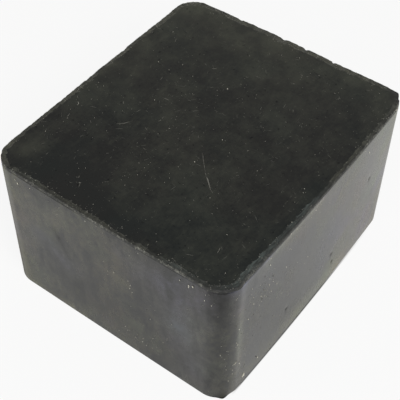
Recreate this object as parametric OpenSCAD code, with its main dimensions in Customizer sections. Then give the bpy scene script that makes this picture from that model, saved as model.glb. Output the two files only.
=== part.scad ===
// Moulded rubber block: one solid piece with rounded upright corners and a top rim
// trimmed by hand above a parting groove.
// Millimetres, +Z up. The origin is the centre of the flat base.

/* [Block] */
// Overall width, left to right
block_w = 70; // [50:1:140]
// Overall depth, front to back
block_d = 80; // [50:1:160]
// Overall height
block_h = 44.5; // [30:0.5:90]

/* [Moulded form] */
// Radius of the four upright corners
corner_r = 6; // [4:0.5:12]
// Rounding where the sides meet the base
base_r = 0.8; // [0.4:0.1:2]

/* [Parting groove] */
// Depth of the groove where the mould halves met
groove_depth = 0.25; // [0.1:0.05:0.5]
// Height of the groove on the side
groove_h = 0.4; // [0.2:0.1:0.8]

/* [Trimmed rim] */
// Upright lip left standing above the groove
lip_h = 0.45; // [0.4:0.05:1]
// How far the lip stands back from the side
lip_inset = 0.06; // [0.02:0.02:0.1]
// Width of the sloping band round the top, seen from above
band_w = 1; // [0.6:0.1:1.4]
// Height of the sloping band
band_h = 0.45; // [0.3:0.05:0.6]
// Width of the band at the near end of the right side, where the knife cut deepest
band_near_w = 1.7; // [1.4:0.1:2]
// Widths of the flats cut on the corners: front right, back right, back left, front left
corner_cuts = [1.8, 1.2, 1.1, 1.5];

/* [Wear] */
// Radius of the pits left by trapped air
pit_r = 0.45; // [0.3:0.05:0.6]
// Places of the pits on the right side, as shares of its half depth and of its height
pit_places = [[0.62, 0.6], [-0.36, 0.26], [0.15, 0.28], [0.21, 0.155]];
// Size of the chip knocked off the base at the front right corner
chip_size = 1.6; // [1:0.1:2.5]
// Depth of the nick in the rim at the back right corner
nick_depth = 0.5; // [0.3:0.1:0.8]

/* [Hidden] */

half_w = block_w / 2;
half_d = block_d / 2;
corner_x = half_w - corner_r;               // centre of each corner's rounding
corner_y = half_d - corner_r;
rim_h = groove_h + lip_h + band_h;          // everything above the smooth side
lip_z = block_h - band_h;                   // top of the lip, foot of the sloping band

corner_facets = 96;                         // facets in a full turn of a corner
base_facets = 32;                           // facets in a full turn of the base rounding
overlap = corner_r / 3;                     // how far the core and sides run into each other

// The skin of the block in section: x runs outwards and reaches `edge_x` at the side.
module skin_section(edge_x, depth) {
    groove_z = block_h - rim_h;
    difference() {
        translate([edge_x - depth, 0]) square([depth, block_h]);
        // groove, cut as a V
        polygon([[edge_x + groove_h, groove_z - groove_h],
                 [edge_x, groove_z],
                 [edge_x - groove_depth, groove_z + groove_h / 2],
                 [edge_x - lip_inset, groove_z + groove_h],
                 [edge_x - lip_inset, lip_z],
                 [edge_x - band_w, block_h],
                 [edge_x - band_w, block_h + band_h],
                 [edge_x + groove_h, block_h + band_h]]);
        // rounding at the base
        difference() {
            translate([edge_x - base_r, -base_r]) square(2 * base_r);
            translate([edge_x - base_r, base_r]) circle(base_r, $fn = base_facets);
            translate([edge_x - 2 * base_r, base_r]) square(2 * base_r);
        }
    }
}

// One upright corner, `turn` quarter turns from the back right one.
module corner(turn) {
    x = (turn == 0 || turn == 3) ? corner_x : -corner_x;
    y = turn < 2 ? corner_y : -corner_y;
    translate([x, y, 0])
        rotate(90 * turn)
            rotate_extrude(angle = 90, $fn = corner_facets)
                skin_section(corner_r, corner_r);
}

// One side, facing +X before it is turned. `out` is its distance from the middle of
// the block and `reach` is half the distance between the corners at its ends.
module side(turn, out, reach) {
    rotate(90 * turn)
        rotate([90, 0, 0])
            linear_extrude(2 * reach, center = true)
                skin_section(out, corner_r + overlap);
}

// The whole moulding before it is trimmed.
module moulding() {
    linear_extrude(block_h)
        square([2 * (corner_x + overlap), 2 * (corner_y + overlap)], center = true);
    for (turn = [0:3]) corner(turn);
    for (turn = [0, 2]) side(turn, half_w, corner_y);
    for (turn = [1, 3]) side(turn, half_d, corner_x);
}

// What a knife takes off: everything above a slope that falls outwards from the top,
// `width` inside x = 0, with the same steepness as the band. It runs along Y.
module knife(width, length) {
    slope = band_h / band_w;
    reach = 3 * width;
    translate([0, 0, block_h])
        rotate([90, 0, 0])
            linear_extrude(length, center = true)
                polygon([[-reach, (reach - width) * slope],
                         [reach, -(reach + width) * slope],
                         [reach, (reach - width) * slope]]);
}

// The cut along the right side widens the band steadily towards the front.
module side_cut() {
    swing = atan((band_near_w - band_w) / block_d);
    translate([half_w, half_d, 0])
        rotate(-swing)
            translate([0, -half_d, 0])
                knife(band_w, 2 * block_d);
}

// The flat cut across a corner's rounding, `width` in from its outermost point.
module corner_cut(turn, width) {
    x = (turn == 0 || turn == 1) ? corner_x : -corner_x;
    y = (turn == 0 || turn == 3) ? -corner_y : corner_y;
    translate([x, y, 0])
        rotate(90 * turn - 45)
            translate([corner_r, 0, 0])
                knife(width, 4 * corner_r);
}

// Pits in the right side, each half sunk in it.
module pits() {
    for (place = pit_places)
        translate([half_w, place[0] * half_d, place[1] * block_h])
            rotate([0, 90, 0])
                sphere(pit_r, $fn = 24);
}

// A slanting slice off the base at the front right corner.
module base_chip() {
    translate([corner_x, -corner_y, 0])
        rotate(-60)
            translate([corner_r, 0, 0])
                rotate([0, 45, 0])
                    cube([chip_size, 2 * chip_size, chip_size], center = true);
}

// A small notch in the rim at the back right corner.
module rim_nick() {
    translate([corner_x, corner_y, block_h])
        rotate(30)
            translate([corner_r + lip_h - nick_depth, 0, 0])
                rotate([0, 0, 45])
                    cube([2 * lip_h, 2 * lip_h, 2 * band_h], center = true);
}

module rubber_block() {
    color("#2f302e")
        difference() {
            moulding();
            side_cut();
            for (turn = [0:3]) corner_cut(turn, corner_cuts[turn]);
            pits();
            base_chip();
            rim_nick();
        }
}

rubber_block();
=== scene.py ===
"""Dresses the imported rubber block: a worn, dusty moulding on a pale studio floor.

The block is one moulding, so the scene has one main piece that stands for it, and five
small ones that lie on it: dust, crumbs, flecks, lint and scratches. All sizes are given in
millimetres and turned to the scene's metres where a mesh or a node needs them.
"""

from __future__ import annotations

import logging
import math
from collections.abc import Callable
from dataclasses import dataclass, field
from enum import IntEnum
from functools import partial
from typing import Any

import bpy
import numpy as np
from mathutils import Matrix, Vector

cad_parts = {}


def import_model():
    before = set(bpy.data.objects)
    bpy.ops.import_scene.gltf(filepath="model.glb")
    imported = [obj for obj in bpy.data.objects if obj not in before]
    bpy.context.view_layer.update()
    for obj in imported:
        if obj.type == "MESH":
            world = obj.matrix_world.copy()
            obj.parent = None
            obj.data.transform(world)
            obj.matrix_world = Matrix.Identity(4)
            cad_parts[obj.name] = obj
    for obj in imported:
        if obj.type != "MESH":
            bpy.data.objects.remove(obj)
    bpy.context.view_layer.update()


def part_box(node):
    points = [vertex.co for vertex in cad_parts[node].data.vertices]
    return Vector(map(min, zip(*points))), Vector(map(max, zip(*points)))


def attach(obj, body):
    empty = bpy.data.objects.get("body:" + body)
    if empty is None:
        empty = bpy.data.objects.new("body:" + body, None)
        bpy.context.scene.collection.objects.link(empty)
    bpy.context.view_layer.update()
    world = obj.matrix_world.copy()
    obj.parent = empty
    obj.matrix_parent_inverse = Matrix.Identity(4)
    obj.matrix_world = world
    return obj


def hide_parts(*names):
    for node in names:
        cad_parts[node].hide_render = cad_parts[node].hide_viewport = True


LOG = logging.getLogger("rubber_block")

MM = 0.001
CAD_NODE = "rubber_block"
BODY = "root"

WHITE = "#ffffff"
BLACK = "#000000"
UNIT = (0.0, 1.0)
# a typical value for vulcanised rubber
RUBBER_IOR = 1.52
# nearly all of a noise lies in this span, round its middle
NOISE_SPAN = (0.3, 0.7)
NOISE_MIDDLE = 0.5

Point = tuple[float, float, float]
Span = tuple[float, float]
# adds a node to one tree: `add_node` with its first argument given
Adder = Callable[..., bpy.types.NodeSocket]

SOCKET_TYPES = {
    float: "NodeSocketFloat",
    int: "NodeSocketInt",
    str: "NodeSocketString",
    tuple: "NodeSocketVector",
    Vector: "NodeSocketVector",
    bpy.types.Material: "NodeSocketMaterial",
}


class Zone(IntEnum):
    """Parts of the block's skin, each with its own finish."""

    MOULDED = 0
    CUT = 1
    TOP = 2


class Segment(IntEnum):
    """Stretches of the outline, in the order in which it is walked from the near corner."""

    RIGHT = 0
    BACK_RIGHT = 1
    BACK = 2
    BACK_LEFT = 3
    LEFT = 4
    FRONT_LEFT = 5
    FRONT = 6
    FRONT_RIGHT = 7


# ---------------------------------------------------------------- small tools


def linear_colour(code: str) -> tuple[float, float, float, float]:
    """Turns an sRGB hex code into the linear colour that the nodes work in.

    Args:
        code: A colour such as "#2a2b29".

    Returns:
        Linear red, green and blue, and an alpha of 1.
    """
    channels = [int(code[i : i + 2], 16) / 255 for i in (1, 3, 5)]
    linear = [c / 12.92 if c <= 0.04045 else ((c + 0.055) / 1.055) ** 2.4 for c in channels]
    return (linear[0], linear[1], linear[2], 1.0)


@dataclass(frozen=True)
class Pattern:
    """A noise pattern: the real size of its blotches, its finer layers and their strength."""

    size_mm: float
    detail: float = 2.0
    roughness: float = 0.5

    def inputs(self, place: bpy.types.NodeSocket, unit: float = MM) -> dict[str, Any]:
        """Gives what a noise node needs to draw the pattern.

        Args:
            place: The coordinates that the pattern lies on.
            unit: What one millimetre measures in those coordinates.

        Returns:
            Values for the noise node, by the names of its inputs.
        """
        scale = 1 / (self.size_mm * unit)
        return {"Vector": place, "Scale": scale, "Detail": self.detail, "Roughness": self.roughness}


def feed(tree: bpy.types.NodeTree, socket: bpy.types.NodeSocket, value: Any) -> None:
    """Links an output to an input, or sets the input's own value.

    Args:
        tree: The tree that the input belongs to.
        socket: The input.
        value: An output of the same tree, or a plain value. A colour is an sRGB hex code.
    """
    if isinstance(value, bpy.types.NodeSocket):
        tree.links.new(value, socket)
    else:
        socket.default_value = linear_colour(value) if socket.type == "RGBA" else value


def add_node(
    tree: bpy.types.NodeTree,
    kind: str,
    *values: Any,
    named: dict[str, Any] | None = None,
    output: str = "",
    **settings: Any,
) -> bpy.types.NodeSocket:
    """Adds one node to a tree, with its settings, its input values and its links.

    Args:
        tree: The tree that gets the node.
        kind: The node's type name.
        *values: Values or outputs for the inputs that it shows, from the first one on.
        named: More of them, by the input's name.
        output: Name of the output to give, where it isn't the first one that it shows.
        **settings: Properties of the node itself.

    Returns:
        The chosen output of the new node.
    """
    node = tree.nodes.new(kind)
    for name, value in settings.items():
        setattr(node, name, value)
    for socket, value in zip([entry for entry in node.inputs if entry.enabled], values):
        feed(tree, socket, value)
    for name, value in (named or {}).items():
        feed(tree, node.inputs[name], value)
    return node.outputs[output] if output else next(socket for socket in node.outputs if socket.enabled)


def ring_noise(around: np.ndarray, length: float, wave: float, seed: int) -> np.ndarray:
    """Smooth noise between -1 and 1 that closes on itself round the outline.

    Args:
        around: Distance of each column along the outline, in millimetres.
        length: Length of the whole outline, in millimetres.
        wave: Distance between neighbouring knots of the noise, in millimetres.
        seed: Seed of the random knots.

    Returns:
        One value for each column.
    """
    knots = max(4, round(length / wave))
    heights = np.random.default_rng(seed).uniform(-1, 1, knots)
    place = (around / length * knots) % knots
    low = np.floor(place).astype(int)
    share = place - low
    share = share * share * (3 - 2 * share)
    return heights[low % knots] * (1 - share) + heights[(low + 1) % knots] * share


def add_object(name: str, mesh: bpy.types.Mesh) -> bpy.types.Object:
    """Puts a mesh into the scene.

    Args:
        name: Name of the object.
        mesh: The mesh.

    Returns:
        A new object at the origin.
    """
    obj = bpy.data.objects.new(name, mesh)
    bpy.context.scene.collection.objects.link(obj)
    return obj


def add_values(mesh: bpy.types.Mesh, name: str, kind: str, values: Any, domain: str = "POINT") -> None:
    """Writes one named value for each point or face of a mesh."""
    mesh.attributes.new(name, kind, domain).data.foreach_set("value", values)


def start_tree(
    name: str, values: dict[str, Any]
) -> tuple[bpy.types.NodeTree, Adder, bpy.types.NodeOutputs]:
    """Starts a geometry tree that takes and gives geometry.

    Args:
        name: Name of the tree.
        values: The values of its named inputs, by their labels. Each gives its input's type.

    Returns:
        The tree, what adds a node to it, and what it is given.
    """
    tree = bpy.data.node_groups.new(name, "GeometryNodeTree")
    for way in ("INPUT", "OUTPUT"):
        tree.interface.new_socket("Geometry", in_out=way, socket_type="NodeSocketGeometry")
    for label, value in values.items():
        tree.interface.new_socket(label, in_out="INPUT", socket_type=SOCKET_TYPES[type(value)])
    return tree, partial(add_node, tree), tree.nodes.new("NodeGroupInput").outputs


def keep_inside(
    add: Adder, geometry: bpy.types.NodeSocket, given: bpy.types.NodeOutputs
) -> bpy.types.NodeSocket:
    """Makes geometry real and holds it between the tree's corner inputs.

    Args:
        add: Adds a node to the tree.
        geometry: What is to stay inside.
        given: The tree's inputs, with its low and high corners.

    Returns:
        The geometry, held inside.
    """
    real = add("GeometryNodeRealizeInstances", geometry)
    place = add("GeometryNodeInputPosition")
    above = add("ShaderNodeVectorMath", place, given["Low Corner"], operation="MAXIMUM")
    inside = add("ShaderNodeVectorMath", above, given["High Corner"], operation="MINIMUM")
    return add("GeometryNodeSetPosition", real, named={"Position": inside})


def end_tree(tree: bpy.types.NodeTree, geometry: bpy.types.NodeSocket) -> bpy.types.NodeTree:
    """Hands geometry to the tree's output, and gives the tree."""
    feed(tree, tree.nodes.new("NodeGroupOutput").inputs[0], geometry)
    return tree


def run_tree(
    obj: bpy.types.Object, tree: bpy.types.NodeTree, values: dict[str, Any], name: str
) -> bpy.types.Object:
    """Puts a geometry tree on an object, sets its inputs and takes the result as a mesh.

    Args:
        obj: The object that the tree starts from. It is removed with its modifier.
        tree: The geometry tree.
        values: Input values by the input's label.
        name: Name of the resulting piece.

    Returns:
        A plain mesh object at the origin.
    """
    modifier = obj.modifiers.new(tree.name, "NODES")
    modifier.node_group = tree
    for item in tree.interface.items_tree:
        if item.item_type == "SOCKET" and item.in_out == "INPUT" and item.name in values:
            modifier[item.identifier] = values[item.name]
    graph = bpy.context.evaluated_depsgraph_get()
    mesh = bpy.data.meshes.new_from_object(obj.evaluated_get(graph), depsgraph=graph)
    bpy.data.objects.remove(obj)
    mesh.name = name
    return add_object(name, mesh)


# ------------------------------------------------------------------- finishes


@dataclass(frozen=True)
class Finish:
    """What every finish of the block shares: nodes that read the object's own coordinates."""

    name: str = "finish"

    def build(self) -> bpy.types.Material:
        """Builds the material.

        Returns:
            The finished material.
        """
        material = bpy.data.materials.new(self.name)
        material.use_nodes = True
        tree = material.node_tree
        add = partial(add_node, tree)
        shader = tree.nodes["Principled BSDF"]
        for name, value in self.surface(add, add("ShaderNodeTexCoord", output="Object")).items():
            feed(tree, shader.inputs[name], value)
        return material

    def surface(self, add: Adder, place: bpy.types.NodeSocket) -> dict[str, Any]:
        """Adds the nodes of the finish.

        Args:
            add: Adds a node to the material's tree.
            place: The object's own coordinates.

        Returns:
            Values and outputs for the shader's inputs, by their names.
        """
        raise NotImplementedError


@dataclass(frozen=True)
class MouldedRubber(Finish):
    """Black moulded rubber as it leaves a polished mould.

    The skin is satin: at a low angle it mirrors pale surroundings as a soft grey sheen, and
    seen square on it is nearly black. Wax and sulphur have bled out of it over the years as
    a thin cloudy bloom, olive in most places and bluish in some. The same tint also paints a
    highlight down the near corner and along the right side's upper edge, and a sheen on the
    far end of that side. Grime and painted shade darken the skin and dim its sheen at the
    foot, in the groove, in the pits and at the corners.
    """

    name: str = "moulded_rubber_satin"
    colour: str = "#131311"
    # the bloom's tints, which also paint highlights and a sheen on the right side
    warm_bloom_and_highlight: str = "#948e6c"
    cool_bloom_and_highlight: str = "#7c7a9a"
    # grime, and painted shade at the foot, in the groove, in the pits and at the corners
    grime_and_shade_colour: str = "#060606"
    cloud: Pattern = Pattern(11.0, 4.0, 0.6)
    smear: Pattern = Pattern(2.4, 3.0, 0.55)
    smear_stretch: Point = (1.0, 1.0, 0.3)
    smear_share: float = 0.45
    fine: Pattern = Pattern(1.3, 3.0, 0.7)
    bloom_share: float = 0.035
    bloom_breaks: Span = (0.4, 1.6)
    cloud_strength: float = 0.40
    fine_strength: float = 0.28
    tint: Pattern = Pattern(13.0, 3.0, 0.6)
    tint_slice: float = 3.0
    cool_span: Span = (0.53, 0.70)
    most_cool: float = 0.6
    hue_swing: Point = (0.7, 0.7, 0.7)
    hue_floor: Point = (0.65, 0.68, 0.60)
    roughness: Span = (0.12, 0.36)
    matt_roughness: float = 0.55
    sheen_span: Span = (0.36, 0.64)
    sheen: Span = (0.40, 0.60)
    # the sheen left under full grime and painted shade
    dimmed_sheen: float = 0.12
    grain: Pattern = Pattern(0.45, 3.0, 0.6)
    grain_height_mm: float = 0.006
    grain_strength: float = 0.5

    def surface(self, add: Adder, place: bpy.types.NodeSocket) -> dict[str, Any]:
        """Draws the bloom, the grime and the uneven polish.

        Args:
            add: Adds a node to the material's tree.
            place: The object's own coordinates.

        Returns:
            Values and outputs for the shader's inputs, by their names.
        """
        bloom_and_highlight_mask, cooled, grime, dulled = (
            add("ShaderNodeAttribute", attribute_name=mask, output="Fac")
            for mask in ("bloom", "cool", "grime", "matt")
        )

        # slow clouds, thin upright smears as left by a wiping hand, and a fine mottle
        cloud = add("ShaderNodeTexNoise", named=self.cloud.inputs(place))
        drawn = add("ShaderNodeMapping", place, named={"Scale": self.smear_stretch})
        smear = add("ShaderNodeTexNoise", named=self.smear.inputs(drawn))
        fine = add("ShaderNodeTexNoise", named=self.fine.inputs(place))
        mottle = add("ShaderNodeMix", self.smear_share, cloud, smear, data_type="FLOAT")

        # the bloom: an even share, more where the mesh says, and broken up at both scales; the mesh's share
        # also holds painted highlights and a painted sheen
        broken = add("ShaderNodeMapRange", mottle, *NOISE_SPAN, *self.bloom_breaks)
        share = add("ShaderNodeMath", bloom_and_highlight_mask, broken, self.bloom_share, operation="MULTIPLY_ADD")
        for noise, strength, clamped in (
            (mottle, self.cloud_strength, False),
            (fine, self.fine_strength, True),
        ):
            swing = add("ShaderNodeMath", noise, NOISE_MIDDLE, operation="SUBTRACT")
            share = add(
                "ShaderNodeMath", swing, strength, share, operation="MULTIPLY_ADD", use_clamp=clamped
            )

        # olive or bluish, and its hue also wanders a little between leaf and rose
        slow_inputs = self.tint.inputs(place) | {"W": self.tint_slice}
        slow = add("ShaderNodeTexNoise", named=slow_inputs, noise_dimensions="4D")
        cool = add("ShaderNodeMapRange", slow, *self.cool_span, 0.0, self.most_cool)
        cool = add("ShaderNodeMath", cool, cooled, operation="ADD", use_clamp=True)
        tint = add("ShaderNodeMix", cool, self.warm_bloom_and_highlight, self.cool_bloom_and_highlight, data_type="RGBA")
        hue = slow.node.outputs["Color"]
        wander = add(
            "ShaderNodeVectorMath", hue, self.hue_swing, self.hue_floor, operation="MULTIPLY_ADD"
        )
        tint = add("ShaderNodeVectorMath", tint, wander, operation="MULTIPLY")
        skin = add("ShaderNodeMix", share, self.colour, tint, data_type="RGBA")
        # grime and painted shade: dirt, and the dark groove, foot line, pits and corners
        grimed_and_shaded = add("ShaderNodeMix", grime, skin, self.grime_and_shade_colour, data_type="RGBA")

        # the polish: a little uneven, gone where the mesh says, and dimmed under grime and painted shade
        rough = add("ShaderNodeMapRange", mottle, *NOISE_SPAN, *self.roughness)
        rough = add(
            "ShaderNodeMath", dulled, self.matt_roughness, rough, operation="MULTIPLY_ADD", use_clamp=True
        )
        sheen = add("ShaderNodeMapRange", mottle, *self.sheen_span, *self.sheen)
        undimmed = add("ShaderNodeMapRange", grime, *UNIT, 1.0, self.dimmed_sheen)
        sheen = add("ShaderNodeMath", sheen, undimmed, operation="MULTIPLY")
        grain = add("ShaderNodeTexNoise", named=self.grain.inputs(place))
        depth = {"Height": grain, "Strength": self.grain_strength, "Distance": self.grain_height_mm * MM}
        bump = add("ShaderNodeBump", named=depth)
        return {
            "Base Color": grimed_and_shaded,
            "Roughness": rough,
            "Specular IOR Level": sheen,
            "Normal": bump,
            "IOR": RUBBER_IOR,
        }


@dataclass(frozen=True)
class RubbedTop(Finish):
    """The moulded top face, dulled by use.

    Things set down on it have scoured off the sheen, so it stays dark and matte, with a thin
    uneven film of dust and hair-fine rub marks that run every way.
    """

    name: str = "moulded_rubber_rubbed"
    colour: str = "#11110e"
    cool_colour: str = "#0b110e"
    film_colour: str = "#686a59"
    patch: Pattern = Pattern(15.0, 3.0, 0.5)
    cool_span: Span = (0.45, 0.65)
    most_cool: float = 0.7
    film: Pattern = Pattern(7.0, 6.0, 0.65)
    film_share: float = 0.01
    film_breaks: Span = (0.6, 1.4)
    drift_span: Span = (0.42, 0.66)
    drift_share: float = 0.10
    fine: Pattern = Pattern(0.9, 3.0, 0.75)
    fine_strength: float = 0.16
    rub: Pattern = Pattern(1.1)
    rub_ways: tuple[Span, Span] = ((0.72, 0.25), (-0.9, 0.3))
    rub_span: Span = (0.58, 0.8)
    rub_share: float = 0.06
    pore: Pattern = Pattern(0.9, 1.0, 0.4)
    pore_span: Span = (0.28, 0.20)
    pore_dark: float = 0.5
    pore_sheen: Span = (0.5, 0.32)
    roughness: Span = (0.55, 0.68)
    grain: Pattern = Pattern(0.5, 4.0, 0.65)
    grain_height_mm: float = 0.02
    grain_strength: float = 0.6

    def surface(self, add: Adder, place: bpy.types.NodeSocket) -> dict[str, Any]:
        """Draws the dust film, the rub marks and the open pores.

        Args:
            add: Adds a node to the material's tree.
            place: The object's own coordinates.

        Returns:
            Values and outputs for the shader's inputs, by their names.
        """
        patch, film, fine, pore, grain = (
            add("ShaderNodeTexNoise", named=pattern.inputs(place))
            for pattern in (self.patch, self.film, self.fine, self.pore, self.grain)
        )
        filmed, cooled = (
            add("ShaderNodeAttribute", attribute_name=mask, output="Fac")
            for mask in ("film", "cool")
        )

        # two families of fine rub marks, drawn out along crossing directions
        marks = []
        for turn, stretch in self.rub_ways:
            way = {"Rotation": (0.0, 0.0, turn), "Scale": (1.0, stretch, 1.0)}
            drawn = add("ShaderNodeMapping", place, named=way)
            lines = add("ShaderNodeTexNoise", named=self.rub.inputs(drawn))
            marks.append(add("ShaderNodeMapRange", lines, *self.rub_span, 0.0, self.rub_share))
        rubbed = add("ShaderNodeMath", *marks, operation="MAXIMUM")

        # the film: an even share, more where the mesh says, broken up at two scales
        settled = add("ShaderNodeMapRange", film, *NOISE_SPAN, *self.film_breaks)
        share = add("ShaderNodeMath", filmed, settled, rubbed, operation="MULTIPLY_ADD")
        drift = add("ShaderNodeMapRange", film, *self.drift_span, 0.0, self.drift_share)
        share = add("ShaderNodeMath", share, drift, operation="ADD")
        swing = add("ShaderNodeMath", fine, NOISE_MIDDLE, operation="SUBTRACT")
        share = add("ShaderNodeMath", swing, self.fine_strength, share, operation="MULTIPLY_ADD")
        share = add("ShaderNodeMath", share, self.film_share, operation="ADD", use_clamp=True)

        cool = add("ShaderNodeMapRange", patch, *self.cool_span, 0.0, self.most_cool)
        cool = add("ShaderNodeMath", cool, cooled, operation="ADD", use_clamp=True)
        ground = add("ShaderNodeMix", cool, self.colour, self.cool_colour, data_type="RGBA")
        skin = add("ShaderNodeMix", share, ground, self.film_colour, data_type="RGBA")

        # open pores, where the skin has lost small crumbs, painted darker: painted shade inside them
        open_pore = add("ShaderNodeMapRange", pore, *self.pore_span, *UNIT)
        sheen = add("ShaderNodeMapRange", open_pore, *UNIT, *self.pore_sheen)
        dark = add("ShaderNodeMath", open_pore, self.pore_dark, operation="MULTIPLY")
        skin = add("ShaderNodeMix", dark, skin, BLACK, data_type="RGBA")
        rough = add("ShaderNodeMapRange", film, *NOISE_SPAN, *self.roughness)
        depth = {"Height": grain, "Strength": self.grain_strength, "Distance": self.grain_height_mm * MM}
        bump = add("ShaderNodeBump", named=depth)
        return {
            "Base Color": skin,
            "Roughness": rough,
            "Specular IOR Level": sheen,
            "Normal": bump,
            "IOR": RUBBER_IOR,
        }


@dataclass(frozen=True)
class KnifeCutRubber(Finish):
    """Rubber where the flash was trimmed off with a knife.

    The blade left fine streaks along the rim. The cut is torn and open-grained, so it holds
    dust and looks a shade lighter than the moulded skin, and its proud edge is scuffed pale.
    Along the back the pale edge and the lighter cut are also a painted highlight, and grime
    and painted shade darken the lip and the steep bevel under the band.
    """

    name: str = "knife_cut_rubber"
    colour: str = "#191a17"
    cut_colour: str = "#4f4f42"
    cool_cut_colour: str = "#49524f"
    pale_colour: str = "#9b9a8f"
    # grime, and painted shade under the rim
    grime_and_shade_colour: str = "#080908"
    roughness: float = 0.62
    streak: Pattern = Pattern(0.28, 2.0, 0.6)
    streak_stretch: Point = (0.12, 1.0, 1.0)
    streak_span: Span = (0.38, 0.66)
    streak_breaks: Span = (0.15, 1.0)
    streak_height: float = 0.5
    tear: Pattern = Pattern(0.8, 4.0, 0.7)
    tear_height_mm: float = 0.08
    tear_strength: float = 0.7
    crumb: Pattern = Pattern(0.5, 2.0, 0.8)
    crumb_span: Span = (0.42, 0.62)
    crumb_breaks: Span = (0.05, 1.0)

    def surface(self, add: Adder, place: bpy.types.NodeSocket) -> dict[str, Any]:
        """Draws the streaks of the blade, the tear and the scuffed edge.

        Args:
            add: Adds a node to the material's tree.
            place: The object's own coordinates.

        Returns:
            Values and outputs for the shader's inputs, by their names.
        """
        shade, cooled, crest, grime = (
            add("ShaderNodeAttribute", attribute_name=mask, output="Fac")
            for mask in ("shade", "cool", "crest", "grime")
        )
        # the rim's own coordinates are millimetres along and across it, so streaks follow it
        way = add("ShaderNodeUVMap", uv_map="rim_way")
        drawn = add("ShaderNodeMapping", way, named={"Scale": self.streak_stretch})
        streak = add("ShaderNodeTexNoise", named=self.streak.inputs(drawn, unit=1.0))
        tear = add("ShaderNodeTexNoise", named=self.tear.inputs(place))
        crumb = add("ShaderNodeTexNoise", named=self.crumb.inputs(place))

        uneven = add("ShaderNodeMapRange", streak, *self.streak_span, *self.streak_breaks)
        lit = add("ShaderNodeMath", shade, uneven, operation="MULTIPLY")
        cut = add("ShaderNodeMix", cooled, self.cut_colour, self.cool_cut_colour, data_type="RGBA")
        skin = add("ShaderNodeMix", lit, self.colour, cut, data_type="RGBA")
        # the pale proud edge: scuffs, and along the back a painted highlight
        ragged = add("ShaderNodeMapRange", crumb, *self.crumb_span, *self.crumb_breaks)
        pale_edge_share = add("ShaderNodeMath", crest, ragged, operation="MULTIPLY", use_clamp=True)
        pale = add("ShaderNodeMix", pale_edge_share, skin, self.pale_colour, data_type="RGBA")
        # grime and painted shade under the rim, kept off the pale edge
        not_pale_share = add("ShaderNodeMath", 1.0, pale_edge_share, operation="SUBTRACT")
        darkening = add("ShaderNodeMath", grime, not_pale_share, operation="MULTIPLY")
        grimed_and_shaded = add("ShaderNodeMix", darkening, pale, self.grime_and_shade_colour, data_type="RGBA")
        height = add("ShaderNodeMath", streak, self.streak_height, tear, operation="MULTIPLY_ADD")
        depth = {"Height": height, "Strength": self.tear_strength, "Distance": self.tear_height_mm * MM}
        bump = add("ShaderNodeBump", named=depth)
        return {"Base Color": grimed_and_shaded, "Roughness": self.roughness, "Normal": bump, "IOR": RUBBER_IOR}


@dataclass(frozen=True)
class WorkshopDust(Finish):
    """Grey and cream grit and lint, dull as chalk.

    Each speck has a tone of its own, from nearly the rubber's grey to pale cream, so that
    only a few of them catch the eye.
    """

    name: str = "workshop_dust"
    dark_colour: str = "#4b4b46"
    pale_colour: str = "#d2cebf"
    roughness: float = 0.9
    grit: Pattern = Pattern(0.15)
    grit_breaks: Span = (0.75, 1.1)

    def surface(self, add: Adder, place: bpy.types.NodeSocket) -> dict[str, Any]:
        """Draws the tone of each speck, a little uneven.

        Args:
            add: Adds a node to the material's tree.
            place: The object's own coordinates.

        Returns:
            Values and outputs for the shader's inputs, by their names.
        """
        tone = add("ShaderNodeAttribute", attribute_name="tone", output="Fac")
        grit = add("ShaderNodeTexNoise", named=self.grit.inputs(place))
        uneven = add("ShaderNodeMapRange", grit, *NOISE_SPAN, *self.grit_breaks)
        shade = add("ShaderNodeMath", tone, uneven, operation="MULTIPLY", use_clamp=True)
        colour = add("ShaderNodeMix", shade, self.dark_colour, self.pale_colour, data_type="RGBA")
        return {"Base Color": colour, "Roughness": self.roughness}


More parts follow.
